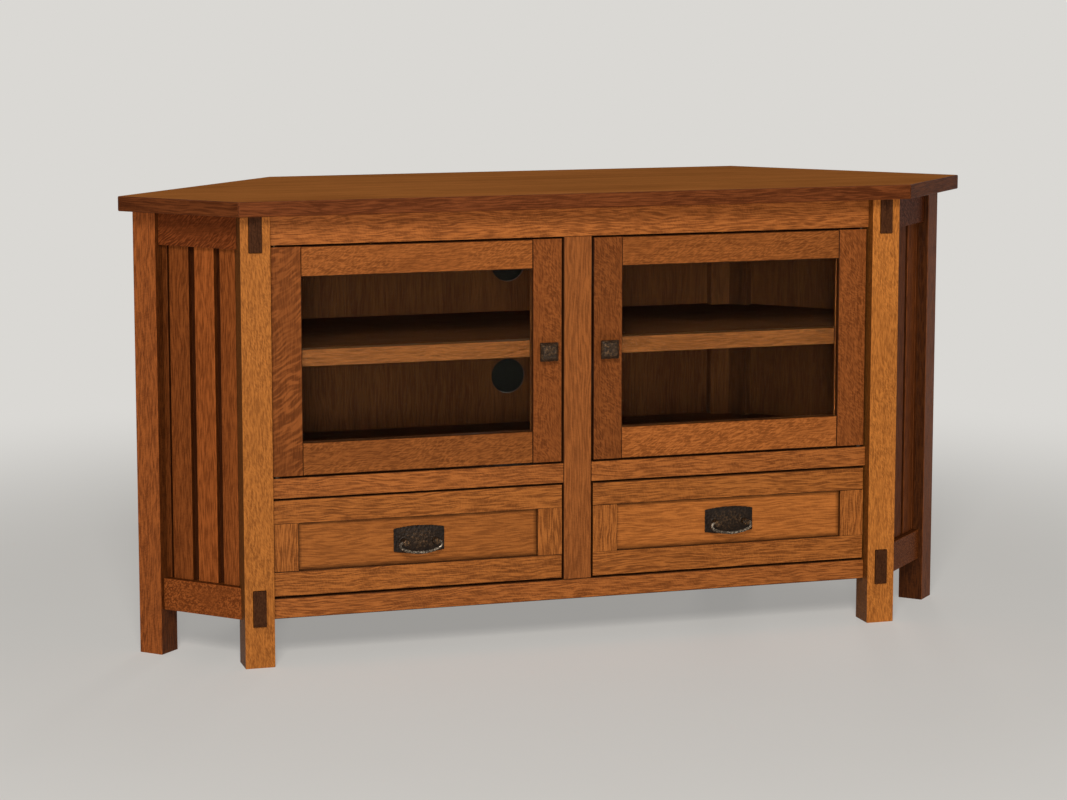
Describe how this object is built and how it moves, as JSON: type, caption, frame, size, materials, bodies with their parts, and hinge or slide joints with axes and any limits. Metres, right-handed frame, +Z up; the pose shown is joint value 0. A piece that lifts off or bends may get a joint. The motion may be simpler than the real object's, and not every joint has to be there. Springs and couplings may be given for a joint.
{
  "type": "corner tv cabinet",
  "caption": "Oak corner television cabinet with slatted slanted sides, glass doors over drawers, an inner shelf, square knobs and bail pulls.",
  "frame": {"origin": "middle of the bounding box, on the floor", "axes": "+Z up, +X to the right seen from the front, +Y from the front to the back, so the front faces -Y"},
  "size_m": [1.52, 0.488, 0.78],
  "materials": {
    "oak_front": "quarter-sawn oak, golden brown stain, satin",
    "oak_door": "quarter-sawn oak, reddish brown stain, satin",
    "oak_top": "quarter-sawn oak, mid brown stain, satin",
    "oak_side": "quarter-sawn oak, dark reddish brown stain, satin",
    "oak_inside": "oak-faced board, dark stain, matt",
    "dark_wood": "dark stained plug, satin",
    "bronze": "hammered, dark bronze patina",
    "glass": "clear"
  },
  "bodies": {
    "carcass": {"top_board": "oak_top", "left_front_post": "oak_front", "right_front_post": "oak_front", "left_rear_post": "oak_side", "right_rear_post": "oak_side", "left_back_leg": "oak_inside", "right_back_leg": "oak_inside", "top_rail": "oak_front", "bottom_rail": "oak_front", "centre_stile": "oak_front", "left_middle_rail": "oak_front", "right_middle_rail": "oak_front", "left_side_top_rail": "oak_side", "right_side_top_rail": "oak_side", "left_side_bottom_rail": "oak_side", "right_side_bottom_rail": "oak_side", "left_slat_panel": "oak_side", "right_slat_panel": "oak_side", "back_panel": "oak_inside", "left_corner_back_panel": "oak_inside", "right_corner_back_panel": "oak_inside", "deck": "oak_inside", "bottom_panel": "oak_inside", "centre_partition": "oak_inside", "left_drawer_runner": "oak_inside", "right_drawer_runner": "oak_inside", "shelf": "oak_inside", "shelf_edge": "oak_front", "left_upper_plug": "dark_wood", "left_lower_plug": "dark_wood", "right_upper_plug": "dark_wood", "right_lower_plug": "dark_wood"},
    "left_door": {"left_door_top_rail": "oak_door", "left_door_bottom_rail": "oak_door", "left_door_hinge_stile": "oak_door", "left_door_lock_stile": "oak_door", "left_door_glass": "glass", "left_knob": "bronze"},
    "right_door": {"right_door_top_rail": "oak_door", "right_door_bottom_rail": "oak_door", "right_door_hinge_stile": "oak_door", "right_door_lock_stile": "oak_door", "right_door_glass": "glass", "right_knob": "bronze"},
    "left_drawer": {"left_drawer_front_frame": "oak_front", "left_drawer_front_panel": "oak_front", "left_drawer_inner_side": "oak_inside", "left_drawer_outer_side": "oak_inside", "left_drawer_bottom": "oak_inside", "left_drawer_back": "oak_inside", "left_pull_plate": "bronze"},
    "right_drawer": {"right_drawer_front_frame": "oak_front", "right_drawer_front_panel": "oak_front", "right_drawer_inner_side": "oak_inside", "right_drawer_outer_side": "oak_inside", "right_drawer_bottom": "oak_inside", "right_drawer_back": "oak_inside", "right_pull_plate": "bronze"},
    "left_handle": {"left_bail": "bronze"},
    "right_handle": {"right_bail": "bronze"}
  },
  "joints": [
    {"name": "left_door_hinge", "type": "hinge", "parent": "carcass", "child": "left_door", "pos_m": [-0.5215, -0.19, 0.50875], "axis": [0, 0, -1], "range_deg": [0, 95]},
    {"name": "right_door_hinge", "type": "hinge", "parent": "carcass", "child": "right_door", "pos_m": [0.5215, -0.19, 0.50875], "axis": [0, 0, 1], "range_deg": [0, 95]},
    {"name": "left_drawer_slide", "type": "slide", "parent": "carcass", "child": "left_drawer", "axis": [0, -1, 0], "range_m": [0, 0.26]},
    {"name": "right_drawer_slide", "type": "slide", "parent": "carcass", "child": "right_drawer", "axis": [0, -1, 0], "range_m": [0, 0.26]},
    {"name": "left_bail_pivot", "type": "hinge", "parent": "left_drawer", "child": "left_handle", "pos_m": [-0.27875, -0.206, 0.195], "axis": [-1, 0, 0], "range_deg": [-30, 90]},
    {"name": "right_bail_pivot", "type": "hinge", "parent": "right_drawer", "child": "right_handle", "pos_m": [0.27875, -0.206, 0.195], "axis": [-1, 0, 0], "range_deg": [-30, 90]}
  ]
}
